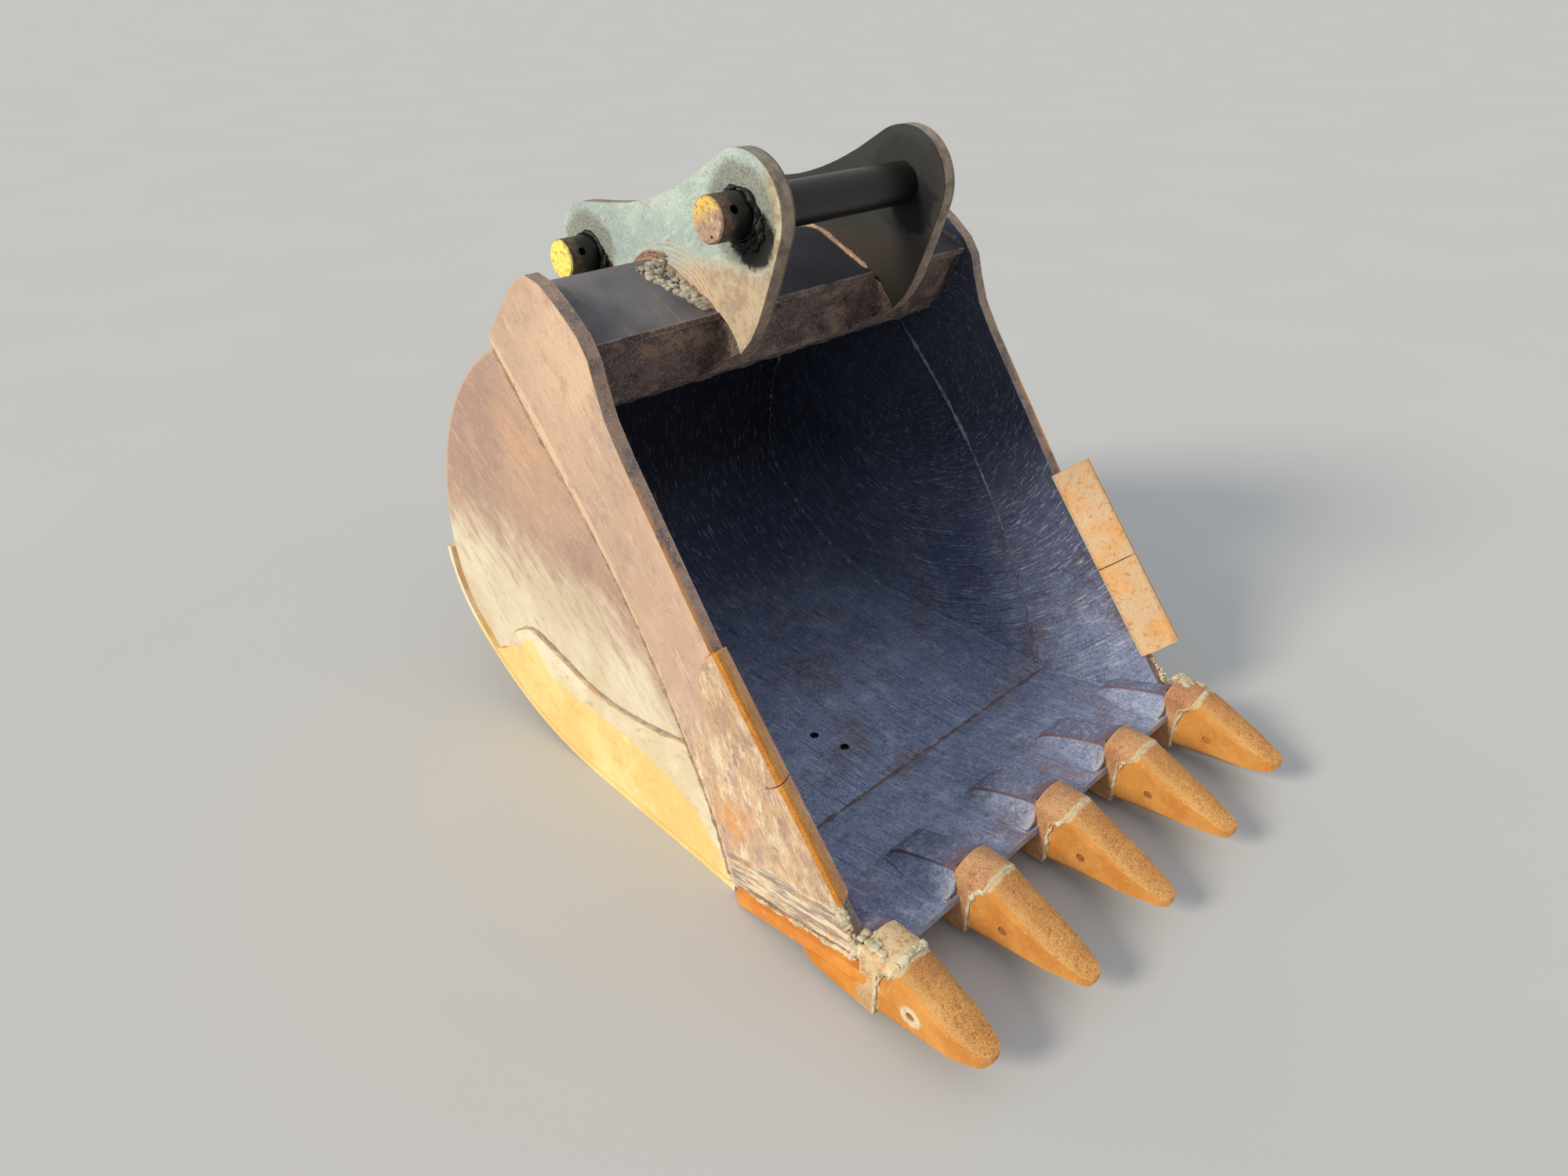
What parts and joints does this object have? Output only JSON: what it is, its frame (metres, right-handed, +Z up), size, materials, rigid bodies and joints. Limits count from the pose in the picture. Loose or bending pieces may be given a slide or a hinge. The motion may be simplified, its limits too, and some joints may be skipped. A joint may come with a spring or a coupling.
{
  "type": "excavator bucket",
  "caption": "Welded digging bucket for a crawler excavator, with teeth, side cutters, pin ears and two pins that draw out sideways.",
  "frame": {"origin": "on the ground, in the middle of the bucket's width and of its length over the teeth", "axes": "X across the bucket, the teeth point to -Y, Z up"},
  "size_m": [1.28, 1.8814, 1.463],
  "materials": {
    "inner_steel": "worn bare steel, scratched",
    "side": "worn and rusted",
    "cutter": "rusted",
    "wear_plate": "rusted",
    "beam": "dirty, rusted",
    "ear": "worn paint",
    "adapter": "rusted",
    "tooth": "rusted, worn",
    "pin": "greasy"
  },
  "bodies": {
    "bucket": {"wrapper": "inner_steel", "lip": "inner_steel", "side_plate_left": "side", "side_plate_right": "side", "side_bar_left": "side", "side_bar_right": "side", "cutter_upper_left": "cutter", "cutter_lower_left": "cutter", "cutter_upper_right": "cutter", "cutter_lower_right": "cutter", "heel_plate_left": "wear_plate", "heel_plate_right": "wear_plate", "wear_strips_outer": "wear_plate", "wear_strips_inner": "wear_plate", "beam_top": "beam", "beam_front": "beam", "beam_under": "beam", "ear_left": "ear", "ear_right": "ear", "ear_gussets": "beam", "adapter_1": "adapter", "adapter_2": "adapter", "adapter_3": "adapter", "adapter_4": "adapter", "adapter_5": "adapter", "tooth_1": "tooth", "tooth_2": "tooth", "tooth_3": "tooth", "tooth_4": "tooth", "tooth_5": "tooth", "tooth_locks": "tooth"},
    "arm_pin": {"arm_pin": "pin"},
    "link_pin": {"link_pin": "pin"}
  },
  "joints": [
    {"name": "arm_pin_draw", "type": "slide", "parent": "bucket", "child": "arm_pin", "axis": [-1, 0, 0], "range_m": [0, 0.62]},
    {"name": "link_pin_draw", "type": "slide", "parent": "bucket", "child": "link_pin", "axis": [-1, 0, 0], "range_m": [0, 0.62]}
  ]
}
